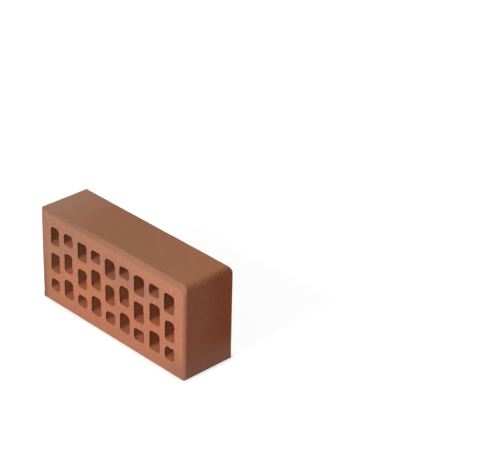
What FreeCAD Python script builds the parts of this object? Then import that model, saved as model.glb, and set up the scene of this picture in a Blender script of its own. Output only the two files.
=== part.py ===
import FreeCAD, Part
import math
import os
from FreeCAD import Vector

# Perforated facing brick of the standard format: clay pressed through a die, cut off by wire and
# fired as one piece. It lies on its plain stretcher face, with the facing one on top. X runs along
# the brick, Y the way the holes run, from one cut bed face to the other, and Z up through the
# brick's width. The origin is the middle of the face that it lies on. All lengths are in
# millimetres.

# Outer sizes
brick_length = 240.0
brick_width = 115.0
course_height = 71.0

# Walls of clay round the holes and webs between them
header_wall = 16.3
stretcher_wall = 16.8
column_web = 8.6
row_web = 9.6

# Holes: every column has two tall ones and a short one
hole_columns = 9
short_hole = 14.6
hole_corner = 4.3

# Edges: the die rounds the corner between the facing stretcher and the facing header, and leaves
# the other three tight. Both bed faces are bevelled along the facing stretcher and the headers.
facing_corner = 7.0
plain_corner = 2.0
facing_bevel = 5.0
header_bevel = 2.5

# What the walls and webs leave for each hole
hole_width = (brick_length - 2 * header_wall - (hole_columns - 1) * column_web) / hole_columns
tall_hole = (brick_width - 2 * stretcher_wall - 2 * row_web - short_hole) / 2

left_end = -brick_length / 2
front_bed = -course_height / 2
back_bed = course_height / 2


def rounded_rectangle(left, bottom, width, height, radii):
    """Closed wire on the front bed face, upright, with an arc at each of its four corners.

    The radii go round from the lower right corner: upper right, upper left, lower left.
    """
    radii = [min(radius, 0.49 * min(width, height)) for radius in radii]
    arc_centres = [
        (left + width - radii[0], bottom + radii[0]),
        (left + width - radii[1], bottom + height - radii[1]),
        (left + radii[2], bottom + height - radii[2]),
        (left + radii[3], bottom + radii[3]),
    ]
    arcs = []
    for quarter, (x, z) in enumerate(arc_centres):
        radius = radii[quarter]
        angles = [math.radians(90 * quarter + turn) for turn in (-90, -45, 0)]
        points = [Vector(x + radius * math.cos(a), front_bed, z + radius * math.sin(a)) for a in angles]
        arcs.append(Part.Arc(*points).toShape())
    edges = []
    for before, after in zip(arcs[-1:] + arcs[:-1], arcs):
        edges.append(Part.makeLine(before.lastVertex().Point, after.firstVertex().Point))
        edges.append(after)
    return Part.Wire(edges)


def hole_column(number):
    """The three hole outlines of one column, from the bottom up.

    The short hole is at the bottom of the first column, at the top of the next, and so on, so that
    the webs of neighbouring columns are staggered and no straight path crosses the brick.
    """
    left = left_end + header_wall + number * (hole_width + column_web)
    heights = [short_hole, tall_hole, tall_hole]
    if number % 2 == 1:
        heights.reverse()
    outlines = []
    bottom = stretcher_wall
    for height in heights:
        outlines.append(rounded_rectangle(left, bottom, hole_width, height, [hole_corner] * 4))
        bottom += height + row_web
    return outlines


def extruded_clay():
    """The clay as it leaves the die, with all its holes, cut to the course height."""
    corners = [plain_corner, facing_corner, plain_corner, plain_corner]
    outlines = [rounded_rectangle(left_end, 0, brick_length, brick_width, corners)]
    for number in range(hole_columns):
        outlines += hole_column(number)
    section = Part.makeFace(outlines, "Part::FaceMakerBullseye")
    return section.extrude(Vector(0, course_height, 0))


def bed_bevels():
    """Block with the brick's outer sizes and the bevels along both bed faces.

    One section runs across the width, with the facing stretcher's bevels at its upper side. The
    other runs along the length, with the bevels of both headers.
    """
    inside_header = left_end + header_bevel
    across_width = [
        Vector(left_end, front_bed, 0),
        Vector(left_end, front_bed, brick_width - facing_bevel),
        Vector(left_end, front_bed + facing_bevel, brick_width),
        Vector(left_end, back_bed - facing_bevel, brick_width),
        Vector(left_end, back_bed, brick_width - facing_bevel),
        Vector(left_end, back_bed, 0),
    ]
    across_length = [
        Vector(left_end, front_bed + header_bevel, 0),
        Vector(inside_header, front_bed, 0),
        Vector(-inside_header, front_bed, 0),
        Vector(-left_end, front_bed + header_bevel, 0),
        Vector(-left_end, back_bed - header_bevel, 0),
        Vector(-inside_header, back_bed, 0),
        Vector(inside_header, back_bed, 0),
        Vector(left_end, back_bed - header_bevel, 0),
    ]
    along = Part.Face(Part.makePolygon(across_width + across_width[:1])).extrude(Vector(brick_length, 0, 0))
    upright = Part.Face(Part.makePolygon(across_length + across_length[:1])).extrude(Vector(0, 0, brick_width))
    return along.common(upright)


brick = extruded_clay().common(bed_bevels()).Solids[0]

os.makedirs("parts", exist_ok=True)
brick.exportStep("parts/brick.step")
print("brick:", len(brick.Faces), "faces,", round(brick.Volume / 1000, 1), "cubic centimetres")
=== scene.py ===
import itertools
import math

import bpy
import numpy as np
from mathutils import Matrix, Vector


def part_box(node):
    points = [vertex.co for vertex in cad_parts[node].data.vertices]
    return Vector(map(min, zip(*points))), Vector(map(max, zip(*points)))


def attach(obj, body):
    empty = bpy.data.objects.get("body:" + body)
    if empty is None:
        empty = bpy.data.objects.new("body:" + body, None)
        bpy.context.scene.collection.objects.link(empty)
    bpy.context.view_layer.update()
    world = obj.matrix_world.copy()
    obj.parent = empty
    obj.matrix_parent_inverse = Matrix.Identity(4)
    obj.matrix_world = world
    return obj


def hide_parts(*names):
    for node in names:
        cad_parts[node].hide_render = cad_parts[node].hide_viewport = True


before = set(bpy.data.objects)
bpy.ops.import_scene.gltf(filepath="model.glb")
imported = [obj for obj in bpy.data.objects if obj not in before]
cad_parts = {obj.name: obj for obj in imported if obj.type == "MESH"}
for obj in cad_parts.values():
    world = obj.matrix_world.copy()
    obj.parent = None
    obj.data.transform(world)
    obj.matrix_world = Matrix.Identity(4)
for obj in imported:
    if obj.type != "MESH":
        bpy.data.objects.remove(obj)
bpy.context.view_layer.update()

# The brick: one piece of red-firing clay, pressed through a die with all its holes, cut off by wire
# at both bed faces and fired. Its long and short sides are skin that slid along the die, its bed
# faces are cut, and the wire has torn the mouths of the holes here and there.
low, high = (np.array(corner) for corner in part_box("brick"))
length, course_height, width = high - low
header_wall = 0.0163
stretcher_wall = 0.0168
column_web = 0.0086
row_web = 0.0096
hole_columns = 9
short_hole = 0.0146
hole_corner = 0.0043
hole_width = (length - 2 * header_wall - (hole_columns - 1) * column_web) / hole_columns
tall_hole = (width - 2 * stretcher_wall - 2 * row_web - short_hole) / 2

# The bed face is shared out in cells, one round each hole, which end in the middle of the webs and
# as far out at the sides. The first column and every other one after it have their short hole at
# the bottom, the rest at the top, so the grid has a line at every height where a cell of either
# kind ends. Points less than same_point apart count as one.
same_point = 1e-6
column_pitch = hole_width + column_web
short_cell = short_hole + row_web
tall_cell = tall_hole + row_web
cell_heights = [(short_cell, tall_cell, tall_cell), (tall_cell, tall_cell, short_cell)]
field_left = low[0] + header_wall - column_web / 2
field_right = field_left + hole_columns * column_pitch
field_low = low[2] + stretcher_wall - row_web / 2
line_heights = field_low + np.array([
    0, short_cell, tall_cell, short_cell + tall_cell, 2 * tall_cell, 2 * tall_cell + short_cell,
])
steps_across = 20
steps_short = 20
steps_between = 7
line_numbers = np.cumsum([0, steps_short, steps_between, steps_short, steps_between, steps_short])
field_across = np.linspace(field_left, field_right, hole_columns * steps_across + 1)
field_up = np.interp(np.arange(line_numbers[-1] + 1), line_numbers, line_heights)


def rounded(points, centre, half, radius):
    """Points round a rectangle, moved onto its outline with rounded corners, and the way out there.

    Each point is drawn to the nearest point of the rectangle that is smaller by the radius on all
    sides, and lies one radius away from it on the line back to where it came from. The radius is
    one length, or a column of lengths, one for each point.
    """
    inner = np.clip(points - centre, radius - half, half - radius)
    outward = points - centre - inner
    outward = outward / np.linalg.norm(outward, axis=-1, keepdims=True)
    return centre + inner + radius * outward, outward


def loop_round(across, up):
    """Closed loop of points on a rectangle's sides, from its lower left corner, anticlockwise."""
    lower = np.stack([across[:-1], np.full(len(across) - 1, up[0])], 1)
    right = np.stack([np.full(len(up) - 1, across[-1]), up[:-1]], 1)
    upper = np.stack([across[:0:-1], np.full(len(across) - 1, up[-1])], 1)
    left = np.stack([np.full(len(up) - 1, across[0]), up[:0:-1]], 1)
    return np.concatenate([lower, right, upper, left])


def front_to_back(rings, middle):
    """The rings from the front to the middle one, that one, and the same rings out to the back."""
    return np.stack([*rings, middle, *rings[::-1]])


def by_half(rings, front, back):
    """The front values for the rings of the front half, and the back values for the others."""
    in_front = (np.arange(rings) < rings // 2)[:, None]
    return np.where(in_front, front, back)


def in_the_brick(flat, depth):
    """Points of a grid of rings that goes from the front bed face to the back one.

    flat holds their places along and across the brick, and depth how deep they lie below the
    nearer bed face.
    """
    y = by_half(len(flat), low[1] + depth, high[1] - depth)
    return np.stack([flat[..., 0], y, flat[..., 1]], -1)


def tube_faces(rings, around):
    """Four-cornered faces between neighbouring rings of a grid that is closed round the rings."""
    ring, step = np.meshgrid(np.arange(rings - 1), np.arange(around), indexing="ij")
    here = ring * around
    beyond = here + around
    after = (step + 1) % around
    corners = [here + step, here + after, beyond + after, beyond + step]
    return np.stack(corners, -1).reshape(-1, 4)


def clay_noise(points, cell, seed):
    """Smooth noise from -1 to 1: random values on a lattice, blended between its eight nearest points.

    cell is the lattice's spacing, one length or one for each axis. The lattice reaches past the
    brick by some spare cells.
    """
    spare = 2
    place = (points - low) / np.array(cell) + spare
    first = np.floor(place).astype(int)
    part = place - first
    part = part * part * (3 - 2 * part)
    size = np.ceil((high - low) / np.array(cell)).astype(int) + 3 * spare
    lattice = np.random.default_rng(seed).uniform(-1, 1, tuple(size))
    total = np.zeros(len(points))
    for step in itertools.product((0, 1), repeat=3):
        weight = np.prod(np.where(step, part, 1 - part), axis=1)
        total += weight * lattice[tuple((first + step).T)]
    return total


# Profile of a well, from its cell's side on the front, over the rounded lip, down the wall to the
# middle of the brick and out again at the back: the share of the way to the lip, how far outside
# the wall, and how deep below the nearer bed face.
lip_round = 0.0004
lip_angle = np.linspace(0, math.pi / 2, 4)
face_share = np.array([0, 0.32, 0.62, 0.86])
wall_depth = np.array([0.0010, 0.0018, 0.0026, 0.0036, 0.006, 0.011, 0.020])
lip_outside = lip_round * (1 - np.sin(lip_angle))
lip_depth = lip_round * (1 - np.cos(lip_angle))
on_face = np.zeros(len(face_share))
on_wall = np.zeros(len(wall_depth))
well_share = front_to_back([*face_share, *np.ones(len(lip_angle)), *(on_wall + 1)], 1)
well_outside = front_to_back([*(on_face + lip_round), *lip_outside, *on_wall], 0)
well_depth = front_to_back([*on_face, *lip_depth, *wall_depth], course_height / 2)

# The cores that form the holes stand a little off their rows, as measured in the photograph: for
# each hole of each column, from the bottom up, how far its left and right walls are moved along the
# brick and its floor and ceiling across it, in millimetres.
core_drift = np.array([
    (0.5, -0.2, -0.5, -0.7), (1.0, 1.1, -0.6, -0.8), (1.6, 0.3, 0.2, -0.7),
    (-0.1, 0.0, -0.7, -1.6), (0.8, -0.2, -0.9, -1.0), (0.7, 0.7, -0.1, -0.3),
    (-0.1, 0.0, -0.7, -1.2), (0.1, -0.1, -0.6, -0.8), (0.6, 0.8, 0.4, -0.9),
    (-0.8, -0.2, -0.7, -1.4), (-0.5, -0.3, -0.4, -0.8), (-0.5, -0.5, -0.6, -0.8),
    (-0.4, -0.5, -0.3, -0.8), (-0.7, -1.0, -0.2, -0.7), (-0.8, 0.2, -0.4, -1.4),
    (-0.6, -0.3, -0.3, -1.1), (-0.9, -1.2, -0.3, -0.4), (-1.0, -0.6, 0.4, -0.4),
    (-1.4, -0.3, -0.9, -0.9), (-1.3, -0.7, -1.1, -0.7), (-1.0, -0.3, -0.4, -0.9),
    (-0.2, 1.1, -1.1, -1.2), (0.1, 1.5, -0.9, -0.1), (-0.7, -0.2, -0.5, -0.8),
    (0.8, 0.5, -1.3, -0.2), (0.7, 0.1, -1.5, -0.8), (-0.7, -0.2, -1.1, -1.6),
]).reshape(hole_columns, 3, 4) / 1000

# A hole's four corners aren't alike either. Their radii as shares of the usual one: the lower and
# the upper corner at the left, then at the right.
corner_shares = np.array([(0.84, 1.22), (1.04, 0.90)])

# The ceiling's lip is wider on the face and goes deeper than the others, by these shares.
ceiling_lip_wider = 0.4
ceiling_lip_deeper = 1.2

# The lips of both mouths are ragged in two sizes, each with its spacing, reach and seed. On the
# front the wire has dragged the right wall in, from a little below the hole's middle upwards. The
# torn places lie there too: column, row from the bottom, across and up from the hole's middle as
# shares of its half size, reach along the lip, and how far it is torn out or, with a minus, in.
raggedness = [(0.0035, 0.00022, 11), (0.0016, 0.00012, 21)]
wire_drag = 0.0005
drag_below_middle = 0.4
tear_depth = 0.0025
tears = [
    (0, 2, 1.0, 0.53, 0.0020, 0.0010),
    (0, 2, 1.0, 0.28, 0.0014, -0.0009),
    (0, 2, 1.0, 0.07, 0.0014, 0.0007),
    (0, 1, 0.48, 1.0, 0.0014, -0.0003),
    (0, 1, -1.0, 0.42, 0.0026, -0.0006),
    (0, 1, 0.72, 1.0, 0.0013, 0.0009),
    (0, 0, -1.0, -1.0, 0.0028, 0.0010),
    (1, 2, -0.25, 1.0, 0.0016, 0.0004),
    (1, 2, 0.17, 1.0, 0.0012, -0.0004),
    (1, 2, 0.58, 1.0, 0.0016, 0.0006),
    (1, 2, 1.0, 0.57, 0.0016, -0.0004),
    (1, 1, 1.0, 0.1, 0.0060, -0.0006),
    (1, 0, 1.0, 0.6, 0.0040, -0.0006),
    (2, 2, -0.9, 0.95, 0.0022, 0.0006),
    (2, 2, 0.8, 1.0, 0.0020, 0.0005),
    (2, 1, 1.0, 0.51, 0.0020, 0.0009),
    (2, 1, 1.0, 0.13, 0.0015, -0.0010),
    (2, 1, -1.0, -0.40, 0.0014, -0.0005),
    (2, 0, -1.0, -0.6, 0.0034, 0.0007),
    (2, 0, 0.9, -0.9, 0.0028, -0.0008),
    (3, 2, 0.24, 1.0, 0.0022, -0.0007),
    (3, 2, 0.75, 1.0, 0.0015, 0.0004),
    (4, 2, -1.0, 0.2, 0.0060, 0.0005),
    (4, 2, 0.9, 0.9, 0.0030, -0.0006),
    (4, 1, -1.0, 0.57, 0.0030, 0.0005),
    (4, 0, 0.75, 0.9, 0.0016, 0.0007),
    (5, 2, 0.77, 1.0, 0.0020, 0.0007),
    (5, 1, -1.0, 0.3, 0.0040, 0.0005),
    (5, 0, 0.75, 0.85, 0.0014, -0.0006),
    (5, 0, 1.0, 0.56, 0.0018, 0.0005),
    (6, 2, 1.0, 0.85, 0.0024, 0.0006),
    (6, 2, -1.0, -0.9, 0.0030, 0.0004),
    (6, 1, -1.0, 0.98, 0.0018, 0.0015),
    (6, 1, -0.80, 1.0, 0.0010, -0.0007),
    (6, 1, 0.75, 0.98, 0.0016, 0.0006),
    (6, 1, 1.0, 0.55, 0.0032, -0.0009),
    (6, 1, 1.0, -0.05, 0.0018, 0.0004),
    (6, 0, -1.0, 0.8, 0.0020, 0.0009),
    (6, 0, 0.75, 0.95, 0.0018, 0.0009),
    (7, 2, 0.95, 0.95, 0.0020, 0.0010),
    (7, 1, 0.95, -0.95, 0.0018, -0.0009),
    (8, 2, -0.9, 0.9, 0.0020, 0.0007),
    (8, 1, 1.0, 0.51, 0.0016, 0.0010),
    (8, 1, 1.0, 0.27, 0.0012, -0.0010),
    (8, 1, -0.6, -1.0, 0.0015, 0.0010),
    (8, 0, -0.4, 1.0, 0.0014, 0.0006),
    (8, 0, 0.15, 1.0, 0.0013, -0.0005),
    (8, 0, 0.55, 1.0, 0.0014, 0.0006),
    (8, 0, -1.0, 0.38, 0.0012, 0.0006),
]

# Small hollows just inside some front mouths, where a crumb has broken out of the wall, darkened
# with painted shade: column, row, across and up, as above, how deep, and how dark. Painted shade
# also lies on the walls under all the ceilings' lips.
spot_radius = 0.0010
spot_hollow = 0.0005
lip_shade_depth = 0.006
shaded_hollows = [
    (0, 2, -1.0, -0.80, 0.0016, 0.6),
    (2, 1, -1.0, -0.61, 0.0024, 0.8),
    (3, 1, -1.0, -0.76, 0.0020, 0.9),
    (3, 0, -1.0, -0.73, 0.0024, 0.8),
    (4, 2, -1.0, -0.90, 0.0022, 0.6),
    (5, 1, -1.0, -0.90, 0.0024, 1.0),
    (6, 0, -0.84, -1.0, 0.0022, 1.0),
    (8, 2, -1.0, -0.85, 0.0016, 0.6),
]


def of_hole(places, column, row):
    """The places that lie on one hole, without the column and the row that each starts with."""
    return [place[2:] for place in places if place[:2] == (column, row)]


def place_on_lip(across, up, centre, half):
    """Point of a hole's outline nearest to a place that is given in shares of its half size."""
    return rounded((centre + half * [across, up])[None], centre, half, hole_corner)[0][0]


def torn_out(column, row, outline, outward, centre, half):
    """How far each point of a hole's outline is torn out at the front mouth and at the back one.

    Both have the ragged noise. The front one also has the wire's drag, by how far a point faces
    right and how high it lies, and its torn places, each as a bell curve of the distance from it.
    """
    torn = np.zeros((2, len(outline)))
    for mouth, face in enumerate((low[1], high[1])):
        lip = np.insert(outline, 1, face, axis=1)
        for spacing, reach, seed in raggedness:
            torn[mouth] += reach * clay_noise(lip, spacing, seed + mouth)
    height_share = np.clip(drag_below_middle + (outline[:, 1] - centre[1]) / half[1], 0, 1)
    torn[0] -= wire_drag * height_share * np.clip(outward[:, 0], 0, 1)
    for across, up, reach, size in of_hole(tears, column, row):
        spot = place_on_lip(across, up, centre, half)
        torn[0] += size * np.exp(-np.sum((outline - spot) ** 2, axis=1) / reach ** 2)
    return torn


def hollow_shade(column, row, points, centre, half):
    """Painted shade of each point of a well: nearly as dark as its hollow within its radius, then none.
    """
    painted_shade = np.zeros(points.shape[:2])
    for across, up, deep, dark in of_hole(shaded_hollows, column, row):
        x, z = place_on_lip(across, up, centre, half)
        away = np.sum((points - [x, low[1] + deep, z]) ** 2, axis=-1) / spot_radius ** 2
        painted_shade = np.maximum(painted_shade, dark * np.exp(-away ** 1.5))
    return painted_shade


def well(column, row, bottom, height):
    """Surface round one hole as a grid of rings: its points and shares of bore, arris, cut, painted
    shade.

    A ring's points lie on the way from the cell's sides to the hole's rounded outline, or on its
    wall. They are moved out as far as the lip is torn there, less with every millimetre of depth
    and with every millimetre out on the face, and the spots with painted shade are hollow.
    """
    across = field_across[column * steps_across:(column + 1) * steps_across + 1]
    up = field_up[(field_up > bottom - same_point) & (field_up < bottom + height + same_point)]
    sides = loop_round(across, up)
    drift = core_drift[column, row].reshape(2, 2)
    centre = np.array([across[0] + column_pitch / 2, bottom + height / 2]) + drift.mean(axis=1)
    half = np.array([hole_width, height - row_web]) / 2 + (drift[:, 1] - drift[:, 0]) / 2
    is_right, is_upper = (sides > centre).astype(int).T
    corner = hole_corner * corner_shares[is_right, is_upper][:, None]
    outline, outward = rounded(sides, centre, half, corner)
    ceiling = np.clip(outward[:, 1], 0, 1)

    outside = well_outside[:, None] * (1 + ceiling_lip_wider * ceiling)
    lips = outline + outside[..., None] * outward
    flat = sides + well_share[:, None, None] * (lips - sides)
    fade = np.where(well_share < 1, well_share ** 3, np.exp(-well_depth / tear_depth))[:, None]
    torn = fade * by_half(len(fade), *torn_out(column, row, outline, outward, centre, half))
    flat = flat + torn[..., None] * outward

    inside = well_depth[:, None]
    lip_deeper = np.where(inside < wall_depth[0], 1 + ceiling_lip_deeper * ceiling, 1)
    points = in_the_brick(flat, inside * lip_deeper)
    painted_shade = hollow_shade(column, row, points, centre, half)
    points = points + spot_hollow * painted_shade[..., None] * np.insert(outward, 1, 0, axis=1)

    bore = np.broadcast_to(np.clip(inside / lip_round, 0, 1), painted_shade.shape)
    # Painted shade on the walls under the ceiling's lip, fading with depth.
    painted_shade = np.maximum(painted_shade, ceiling * bore ** 0.3 * np.exp(-inside / lip_shade_depth))
    return points, np.stack([bore, 0 * bore, 1 - bore, painted_shade], -1)


# The outside: a band that starts where the wells end on the front, runs out to the bevels, over
# them, along the die-formed sides and in again at the back. The bevels are soft where they leave
# the bed face and crisp where they meet the side. The corner between the facing stretcher and the
# facing header is round, and the edges of the side that the brick lies on are hardly broken. Every
# corner tightens by a share of its radius for each bevel width further in.
facing_corner = 0.007
plain_corner = 0.002
facing_bevel = 0.005
header_bevel = 0.0025
worn_edge = 0.0006
corner_tightens = 0.15

# Its rings from the front to the middle: on the margin, as shares of the way from the wells to the
# bevels, on the bevels, in bevel widths from the side, and on the side, as shares of its height.
# A bevel starts somewhat further in than its width says and falls away as a power of the way out.
bevel_start = 1.35
bevel_curve = 1.6
margin_share = np.linspace(0, 1, 7)[:-1]
bevel_inset = np.array([bevel_start, 1.15, 0.92, 0.69, 0.46, 0.23, 0.05, 0])
side_share = np.array([0.006, 0.02, 0.05, 0.1, 0.17, 0.25, 0.33, 0.415])

# On the way out, in the same bevel widths, the cut look ends and the rolled one begins.
cut_whole = 1.3
cut_gone = 0.9
rolled_none = bevel_start
rolled_whole = 0.55


def outer_skin():
    """Grid of rings round the outside, from the wells at the front to those at the back.

    It holds the points, and their shares of bore, arris, cut and painted shade.
    """
    field = loop_round(field_across, field_up)
    field_half = (field.max(axis=0) - field.min(axis=0)) / 2
    spread = (field - field.min(axis=0)) / field_half - 1
    corner = np.where((spread > 0).all(axis=1), facing_corner, plain_corner)[:, None]

    def ring_at(inset):
        """Outline of the bed face, smaller by the inset times each side's bevel, and the way out."""
        lower = low[[0, 2]] + inset * np.array([header_bevel, worn_edge])
        upper = high[[0, 2]] - inset * np.array([header_bevel, facing_bevel])
        centre = (lower + upper) / 2
        half = (upper - lower) / 2
        return rounded(centre + spread * half, centre, half, corner * (1 - corner_tightens * inset))

    outline, outward = ring_at(0)
    start = ring_at(bevel_start)[0]
    upright_bevel = np.where(outward[:, 1] > 0, facing_bevel, worn_edge)
    bevel = header_bevel * outward[:, 0] ** 2 + upright_bevel * outward[:, 1] ** 2
    flat = [field + share * (start - field) for share in margin_share]
    flat += [ring_at(inset)[0] for inset in bevel_inset]
    flat += [outline for share in side_share]
    drop = [0 * bevel for share in margin_share]
    drop += [bevel * (1 - inset / bevel_start) ** bevel_curve for inset in bevel_inset]
    drop += [bevel + share * (course_height - 2 * bevel) for share in side_share]
    middle = np.full(len(field), course_height / 2)
    points = in_the_brick(front_to_back(flat, outline), front_to_back(drop, middle))

    on_margin = np.ones(len(margin_share))
    on_side = np.zeros(len(side_share))
    cut = np.clip((bevel_inset - cut_gone) / (cut_whole - cut_gone), 0, 1)
    cut = front_to_back([*on_margin, *cut, *on_side], 0)
    rolled = np.clip((bevel_inset - rolled_none) / (rolled_whole - rolled_none), 0, 1)
    rolled = front_to_back([*0 * on_margin, *rolled, *on_side], 0)
    arris = rolled[:, None] * np.clip(outward[:, 1] + 1, 0, 1)
    cut = np.broadcast_to(cut[:, None], arris.shape)
    return points, np.stack([0 * cut, arris, cut, 0 * cut], -1)


# All the sheets as one skin. The outer one goes round its rings as the wells do but looks the other
# way, so its faces are turned over. The points on the borders of two or more sheets are made one.
sheets = []
for column in range(hole_columns):
    bottom = field_low
    for row, height in enumerate(cell_heights[column % 2]):
        sheets.append(well(column, row, bottom, height))
        bottom += height
sheets.append(outer_skin())
points = np.concatenate([grid.reshape(-1, 3) for grid, shares in sheets])
masks = np.concatenate([shares.reshape(-1, 4) for grid, shares in sheets])
firsts = np.cumsum([0] + [grid[..., 0].size for grid, shares in sheets])
faces = [tube_faces(*grid.shape[:2]) + first for (grid, shares), first in zip(sheets, firsts)]
faces[-1] = faces[-1][:, ::-1]
faces = np.concatenate(faces)
place_numbers = np.round(points / same_point).astype(np.int64)
keep, new_number = np.unique(place_numbers, axis=0, return_index=True, return_inverse=True)[1:]
points = points[keep]
masks = masks[keep]
faces = new_number.reshape(-1)[faces]


def point_normals(points, faces):
    """Mean direction of the faces round each point, each face counted by its area."""
    a, b, c, d = (points[faces[:, i]] for i in range(4))
    direction = np.cross(c - a, d - b)
    total = np.zeros_like(points)
    for i in range(4):
        np.add.at(total, faces[:, i], direction)
    return total / np.linalg.norm(total, axis=1, keepdims=True)


# How far each point faces a bed side, an end or upwards: a share that rises between two cosines.
normals = point_normals(points, faces)
bed_facing = np.interp(np.abs(normals[:, 1]), (0.375, 1), (0, 1))
# The end share starts on faces turned only a little towards an end, so that the end's tone and its
# painted shade reach far up the rounded edge.
end_facing = np.interp(np.abs(normals[:, 0]), (2 / 15, 0.8), (0, 1))
up_facing = np.interp(normals[:, 2], (0.25, 0.875), (0, 1))

# Relief of drying and firing: a slight warp, soft dents in two sizes, and fine streaks along the way
# the clay slid through the die. It is sunk by the height of the warp and held in the brick's outer
# sizes, and it fades towards the side that the brick lies on, so that the floor is touched along
# its whole length. The dents have a spacing, a height and a seed each.
warp_spacing = 0.07
warp_height = 0.00015
dent_sizes = [(0.011, 0.00010, 2), (0.0045, 0.00006, 3)]
streak_spacing = (0.0025, 0.06, 0.0025)
streak_height = 0.00005
fading_height = 0.012
least_relief = 0.2
warp = warp_height * clay_noise(points, warp_spacing, 1)
dents = sum(deep * clay_noise(points, spacing, seed) for spacing, deep, seed in dent_sizes)
streaks = streak_height * clay_noise(points, streak_spacing, 4) * (1 - bed_facing)
settled = np.clip((points[:, 2] - low[2]) / fading_height, least_relief, 1)
relief = (warp + dents + streaks - warp_height) * settled
points = np.clip(points + normals * relief[:, None], low, high)

brick_mesh = bpy.data.meshes.new("facing_brick")
brick_mesh.from_pydata(points, [], faces)
brick_mesh.polygons.foreach_set("use_smooth", np.ones(len(faces), dtype=bool))
mask_names = ("bore", "arris", "cut", "painted_shade", "end", "hole_floor")
for name, values in zip(mask_names, (*masks.T, end_facing, up_facing)):
    mask = brick_mesh.attributes.new(name, "FLOAT", "POINT")
    mask.data.foreach_set("value", values.astype(np.float32))
brick_mesh.update()
brick = bpy.data.objects.new("facing_brick", brick_mesh)
bpy.context.scene.collection.objects.link(brick)
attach(brick, "root")
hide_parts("brick")

# Fired clay: orange where it is cut, browner on the skin of the die, grey along the rolled arrises
# and at the end that stood in the kiln's draught, with sand grain and fine pores all over.
clay = bpy.data.materials.new("fired clay")
clay.use_nodes = True
clay_shader = clay.node_tree.nodes["Principled BSDF"]


def srgb(red, green, blue):
    """Linear colour with alpha from the usual 0 to 255 values."""
    values = np.array([red, green, blue]) / 255
    linear = np.where(values <= 0.04045, values / 12.92, ((values + 0.055) / 1.055) ** 2.4)
    return (*linear.tolist(), 1.0)


def feed(socket, value):
    """Give an input its value: a number or colour, or the socket that feeds it."""
    if isinstance(value, bpy.types.NodeSocket):
        socket.id_data.links.new(value, socket)
    else:
        socket.default_value = value


def wire(kind, inputs, tree=clay.node_tree, **settings):
    """New node in a material's or the world's tree, with these settings and its inputs fed."""
    node = tree.nodes.new(kind)
    for name, value in settings.items():
        setattr(node, name, value)
    for name, value in inputs.items():
        feed(node.inputs[name], value)
    return node


def speckle(place, size, seed, detail, rough=0.55):
    """Noise from 0 to 1 whose spots are about the given size, in metres."""
    inputs = {"Vector": place, "W": seed, "Scale": 1 / size, "Detail": detail, "Roughness": rough}
    return wire("ShaderNodeTexNoise", inputs, noise_dimensions="4D").outputs["Fac"]


def ramp(value, start, end, first=0.0, last=1.0):
    """Goes smoothly from the first to the last as the value goes from start to end, and no further."""
    inputs = {"Value": value, "From Min": start, "From Max": end, "To Min": first, "To Max": last}
    return wire("ShaderNodeMapRange", inputs, interpolation_type="SMOOTHSTEP").outputs["Result"]


def sums(operation, first, *others):
    """Result of one kind of sum on numbers or sockets, taken from left to right."""
    result = first
    for other in others:
        result = wire("ShaderNodeMath", {0: result, 1: other}, operation=operation).outputs[0]
    return result


def apart(value, middle):
    """How far a value is from the middle one, to either side."""
    difference = sums("SUBTRACT", value, middle)
    return wire("ShaderNodeMath", {0: difference}, operation="ABSOLUTE").outputs[0]


def coats(colour, *layers):
    """The colour with layers laid over it in turn, each a share from 0 to 1 and its own colour."""
    for share, layer in layers:
        node = wire("ShaderNodeMix", {"Factor": share}, data_type="RGBA")
        below, above = (socket for socket in node.inputs if socket.type == "RGBA")
        feed(below, colour)
        feed(above, layer)
        colour = next(socket for socket in node.outputs if socket.type == "RGBA")
    return colour


place = wire("ShaderNodeTexCoord", {}).outputs["Object"]
x, y, z = wire("ShaderNodeSeparateXYZ", {"Vector": place}).outputs
bore, arris, cut, painted_shade, end, hole_floor = (
    wire("ShaderNodeAttribute", {}, attribute_name=name).outputs["Fac"] for name in mask_names
)

# Patterns of the clay. The wander bends the borders of the tones. The wire's drag marks rise across
# the bed faces at 45 degrees, and fine streaks on the sides follow the way the clay slid.
wander = ramp(speckle(place, size=0.055, seed=3.0, detail=2.0), 0.3, 0.7, -0.015, 0.015)
along = sums("ADD", x, wander)
off_middle = apart(y, 0.0)
mottle = speckle(place, size=0.009, seed=7.0, detail=4.0, rough=0.6)
flecks = speckle(place, size=0.0026, seed=11.0, detail=2.0, rough=0.6)
grain = speckle(place, size=0.0009, seed=1.0, detail=2.0, rough=0.7)
drag_way = wire(
    "ShaderNodeMapping",
    {"Vector": place, "Rotation": (0, math.radians(-45), 0), "Scale": (9.0, 1.0, 1.0)},
    vector_type="TEXTURE",
).outputs["Vector"]
drag = speckle(drag_way, size=0.0016, seed=13.0, detail=2.0, rough=0.6)
slide_way = wire("ShaderNodeMapping", {"Vector": place, "Scale": (1.0, 0.06, 1.0)}).outputs["Vector"]
slide = speckle(slide_way, size=0.0012, seed=5.0, detail=3.0)
slid = sums("MULTIPLY", slide, sums("SUBTRACT", 1.0, cut))
pit_spacing = 0.0022
pits = wire("ShaderNodeTexVoronoi", {"Vector": place, "Scale": 1 / pit_spacing, "Randomness": 1.0})
open_pits = sums("MULTIPLY", ramp(pits.outputs["Distance"], 0.20, 0.08), ramp(mottle, 0.42, 0.60))
coarse = sums("ADD", sums("MULTIPLY", cut, 0.46), ramp(end, 0.0, 1.0, 0.36, 0.46))

# Skin of the die on the long sides: paler towards the left end. On the ends: redder and darker than
# the sides, partly the clay's own tone and partly painted shade and reddish bounce light; redder
# towards the back, paler low down with painted light bounced off the floor, paler at the left end,
# and brown along the facing edge with painted shade, which narrows the rounded edge's highlight.
side_tone = coats(
    srgb(181, 120, 87),
    (ramp(along, 0.02, 0.12), srgb(188, 122, 86)),
    (ramp(along, -0.04, -0.125), srgb(188, 142, 114)),
)
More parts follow.
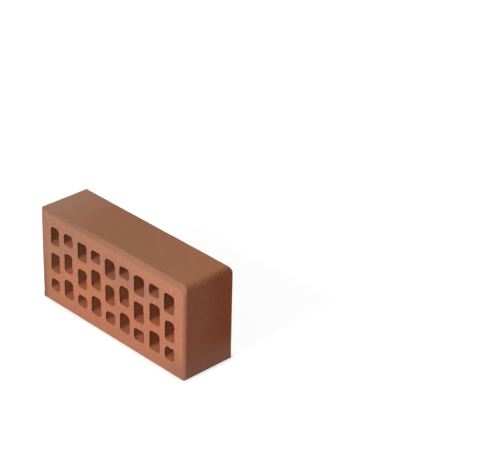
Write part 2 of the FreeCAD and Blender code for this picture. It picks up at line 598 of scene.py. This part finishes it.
# Painted shade on the rounded edge between the top and the facing end, browner towards the back.
rounded_edge_shade = coats(srgb(167, 105, 77), (ramp(y, -0.01, 0.02), srgb(156, 90, 61)))
end_tone = coats(
    srgb(184, 109, 76),
    (ramp(y, -0.018, 0.022), srgb(174, 92, 56)),
    (ramp(z, 0.042, 0.0), srgb(186, 127, 102)),
    (ramp(along, 0.0, -0.1), srgb(196, 140, 110)),
    (ramp(z, 0.105, 0.112, 0.0, 0.8), rounded_edge_shade),
)

# Cut clay of the bed faces: greyer and darker to the left, partly grey bloom and partly a painted fall
# of light that rises to the right, orange low down in the middle, dull between the upper holes right
# of the middle, along the foot, in a band up the middle and at the right foot, and brown along the
# left edge.
middle_low = sums(
    "MULTIPLY",
    ramp(sums("ADD", z, wander), 0.095, 0.04),
    ramp(apart(along, 0.0), 0.115, 0.06, 0.35, 1.0),
)
upper_row = sums(
    "MULTIPLY",
    ramp(apart(z, 0.087), 0.016, 0.006, 0.0, 0.8),
    ramp(along, -0.015, 0.008),
    ramp(along, 0.11, 0.075),
)
right_foot = sums("MULTIPLY", ramp(z, 0.035, 0.005), ramp(along, 0.09, 0.12))
left_edge = sums("MULTIPLY", ramp(x, -0.106, -0.117), ramp(z, 0.09, 0.02, 0.1, 1.0))
foot_tone = coats(srgb(193, 124, 93), (ramp(along, -0.07, -0.105), srgb(180, 122, 97)))
cut_tone = coats(
    srgb(202, 130, 99),
    # Greyer and darker to the left: grey bloom and a painted fall of light that rises to the right.
    (ramp(along, 0.12, -0.15), srgb(175, 124, 100)),
    (middle_low, srgb(205, 127, 94)),
    (upper_row, srgb(182, 124, 97)),
    (ramp(z, 0.024, 0.006), foot_tone),
    (ramp(apart(x, 0.012), 0.022, 0.006, 0.0, 0.3), srgb(182, 121, 94)),
    (right_foot, srgb(176, 116, 90)),
    (left_edge, srgb(149, 99, 77)),
)

# The rolled arrises: greyer to the left, and redder on the ends.
arris_tone = coats(
    srgb(171, 122, 96),
    (ramp(along, 0.06, -0.10), srgb(150, 109, 88)),
    (end, srgb(168, 108, 86)),
)

# Walls of the holes: redder to the right, brown high up, paler deep inside with painted light, orange
# on the holes' floors, and dark near the mouths with painted shade, but not on the lit floors.
high_up = ramp(z, 0.070, 0.085)
# Painted light: walls more than about 10 mm deep are made paler, less so high up.
deep = sums("MULTIPLY", ramp(off_middle, 0.033, 0.025), ramp(high_up, 0.0, 1.0, 0.8, 0.35))
# Painted shade: walls within about 3 mm of the bed faces are darkened, but not the floors.
mouth = sums(
    "MULTIPLY",
    ramp(off_middle, 0.0320, 0.0350),
    sums("SUBTRACT", 1.0, hole_floor),
    ramp(along, -0.10, 0.02, 0.55, 0.85),
)
floor_tone = coats(
    srgb(192, 121, 92),
    (ramp(z, 0.085, 0.045), srgb(202, 119, 82)),
    (ramp(along, 0.06, 0.11, 0.0, 0.5), srgb(208, 126, 88)),
)
bore_tone = coats(
    srgb(188, 128, 96),
    (ramp(along, -0.11, 0.11), srgb(186, 112, 74)),
    (sums("MULTIPLY", high_up, 0.8), srgb(164, 108, 80)),
    # Painted light deep inside.
    (deep, srgb(206, 138, 98)),
    (hole_floor, floor_tone),
    # Painted shade near the mouths.
    (mouth, srgb(84, 46, 32)),
)

# The tones put together, with pale and dark grains and flecks, the wire's marks, pits and painted
# shade.
pale_sand = srgb(227, 176, 150)
dark_sand = srgb(142, 86, 64)
colour = coats(
    side_tone,
    (end, end_tone),
    (cut, cut_tone),
    (sums("MULTIPLY", arris, 0.9), arris_tone),
    (bore, bore_tone),
    (ramp(mottle, 0.50, 0.80, 0.0, 0.16), srgb(168, 112, 88)),
    (sums("MULTIPLY", ramp(grain, 0.50, 0.78, 0.0, 0.38), coarse), pale_sand),
    (sums("MULTIPLY", ramp(grain, 0.50, 0.24, 0.0, 0.38), coarse), dark_sand),
    (sums("MULTIPLY", ramp(flecks, 0.50, 0.74, 0.0, 0.24), coarse), pale_sand),
    (sums("MULTIPLY", ramp(flecks, 0.50, 0.28, 0.0, 0.22), coarse), dark_sand),
    (sums("MULTIPLY", ramp(drag, 0.30, 0.70, 0.0, 0.17), cut), srgb(168, 104, 78)),
    (sums("MULTIPLY", open_pits, 0.45), srgb(112, 66, 48)),
    # Painted shade under the ceilings' lips and in the crumb hollows.
    (painted_shade, srgb(58, 26, 17)),
)
grit = sums(
    "ADD",
    sums("MULTIPLY", grain, 0.55),
    sums("MULTIPLY", slid, 0.35),
    sums("MULTIPLY", open_pits, -0.9),
    sums("MULTIPLY", mottle, 0.5),
    sums("MULTIPLY", flecks, coarse, 0.8),
    sums("MULTIPLY", drag, cut, 0.5),
)
bump = wire("ShaderNodeBump", {"Height": grit, "Strength": 0.7, "Distance": 0.0004})
feed(clay_shader.inputs["Base Color"], colour)
feed(clay_shader.inputs["Normal"], bump.outputs["Normal"])
feed(clay_shader.inputs["Roughness"], ramp(mottle, 0.2, 0.8, 0.86, 0.97))
clay_shader.inputs["Specular IOR Level"].default_value = 0.25
brick_mesh.materials.append(clay)

# Floor and surroundings: a white sweep of paper that runs past the picture on all sides. To the eye
# it is white with the brick's soft shadow on it, and to the brick it throws plain white light.
floor_reach = 4.0
floor_mesh = bpy.data.meshes.new("floor")
floor_corners = [(x * floor_reach, y * floor_reach, 0) for x, y in ((-1, -1), (1, -1), (1, 1), (-1, 1))]
floor_mesh.from_pydata(floor_corners, [], [(0, 1, 2, 3)])
floor_sheet = bpy.data.objects.new("floor", floor_mesh)
bpy.context.scene.collection.objects.link(floor_sheet)
paper = bpy.data.materials.new("white sweep")
paper.use_nodes = True
paper_tree = paper.node_tree
paper_shader = paper_tree.nodes["Principled BSDF"]
paper_shader.inputs["Roughness"].default_value = 0.95
paper_shader.inputs["Specular IOR Level"].default_value = 0.0
paper_shader.inputs["Emission Color"].default_value = (1, 1, 1, 1)
to_eye = wire("ShaderNodeLightPath", {}, paper_tree).outputs["Is Camera Ray"]

# Right at the brick's foot, where less of the sky is open, the paper glows less: a painted contact
# shadow.
foot_shade_reach = 0.008
open_sky = wire("ShaderNodeAmbientOcclusion", {"Distance": foot_shade_reach}, paper_tree, samples=16)
glow_inputs = {"Value": open_sky.outputs["AO"], "From Min": 0.5, "To Min": 0.69, "To Max": 0.90}
glow = wire("ShaderNodeMapRange", glow_inputs, paper_tree).outputs["Result"]
for name, bounced, seen in (("Base Color", 0.70, 0.28), ("Emission Strength", 0.0, glow)):
    level = wire("ShaderNodeMapRange", {"Value": to_eye, "To Min": bounced, "To Max": seen}, paper_tree)
    feed(paper_shader.inputs[name], level.outputs["Result"])
floor_mesh.materials.append(paper)

world = bpy.data.worlds.new("studio")
bpy.context.scene.world = world
world.use_nodes = True
surroundings = world.node_tree.nodes["Background"]
surroundings.inputs["Color"].default_value = (1, 1, 1, 1)
seen_by_eye = wire("ShaderNodeLightPath", {}, world.node_tree).outputs["Is Camera Ray"]
daylight_inputs = {"Value": seen_by_eye, "To Min": 0.25, "To Max": 1.0}
daylight = wire("ShaderNodeMapRange", daylight_inputs, world.node_tree)
feed(surroundings.inputs["Strength"], daylight.outputs["Result"])

# Lamps: one large soft panel before the holed face, a little above it, and a weak one low behind
# the brick, towards its left end, so that the sides away from the first are not left dark.
lamp_target = Vector((0, 0, 0.05))
for name, lamp_place, panel_size, watts in (
    ("key", (0.12, -3.43, 2.11), 0.6, 107),
    ("fill", (-3.2, 1.9, 0.45), 0.8, 45),
):
    panel = bpy.data.lights.new(name, "AREA")
    panel.shape = "SQUARE"
    panel.size = panel_size
    panel.energy = watts
    lamp = bpy.data.objects.new(name, panel)
    lamp_turn = (lamp_target - Vector(lamp_place)).to_track_quat("-Z", "Y").to_matrix().to_4x4()
    lamp.matrix_world = Matrix.Translation(lamp_place) @ lamp_turn
    bpy.context.scene.collection.objects.link(lamp)

# Camera: the photograph's viewing angle, from the brick's right front and a little above. The
# distances and the target are real lengths, and the focal length is in pixels of the photograph.
picture_width = 486
focal_pixels = 1806.68
azimuth = math.radians(45.333)
elevation = math.radians(28.800)
roll = math.radians(1.516)
distance = 1.81292
target = Vector((0.17029, -0.0035, 0.19939))
back = Vector((
    math.sin(azimuth) * math.cos(elevation),
    -math.cos(azimuth) * math.cos(elevation),
    math.sin(elevation),
))
level_right = Vector((math.cos(azimuth), math.sin(azimuth), 0))
level_up = back.cross(level_right)
right = math.cos(roll) * level_right + math.sin(roll) * level_up
up = back.cross(right)
lens = bpy.data.cameras.new("camera")
lens.sensor_width = 36
lens.lens = focal_pixels / picture_width * lens.sensor_width
lens.clip_start = 0.01
lens.clip_end = 50
camera = bpy.data.objects.new("camera", lens)
camera_turn = Matrix((right, up, back)).transposed().to_4x4()
camera.matrix_world = Matrix.Translation(target + back * distance) @ camera_turn
bpy.context.scene.collection.objects.link(camera)
bpy.context.scene.camera = camera
bpy.context.scene.view_settings.view_transform = "Standard"
